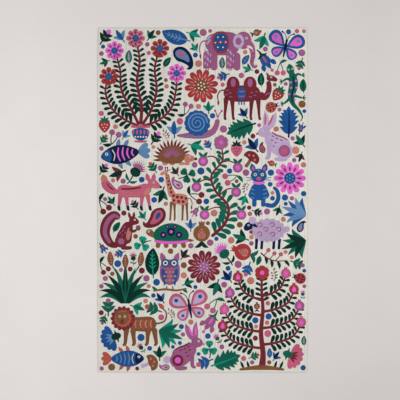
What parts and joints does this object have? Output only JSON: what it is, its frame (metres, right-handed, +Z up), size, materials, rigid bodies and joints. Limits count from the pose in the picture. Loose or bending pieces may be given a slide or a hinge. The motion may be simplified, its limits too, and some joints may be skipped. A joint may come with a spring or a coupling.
{
  "type": "crewel rug",
  "caption": "Flat rectangular floor rug of cotton canvas worked all over in wool chain stitch, with a turned edge, to lie on a floor.",
  "frame": {"origin": "centre of the flat underside, on the floor", "axes": "+Z up out of the worked side, +Y along the rug's length, +X across it"},
  "size_m": [1.4858, 2.4398, 0.0063],
  "materials": {
    "ivory_wool": "matt chain-stitched wool"
  },
  "bodies": {
    "root": {"rug": "ivory_wool"}
  },
  "joints": []
}
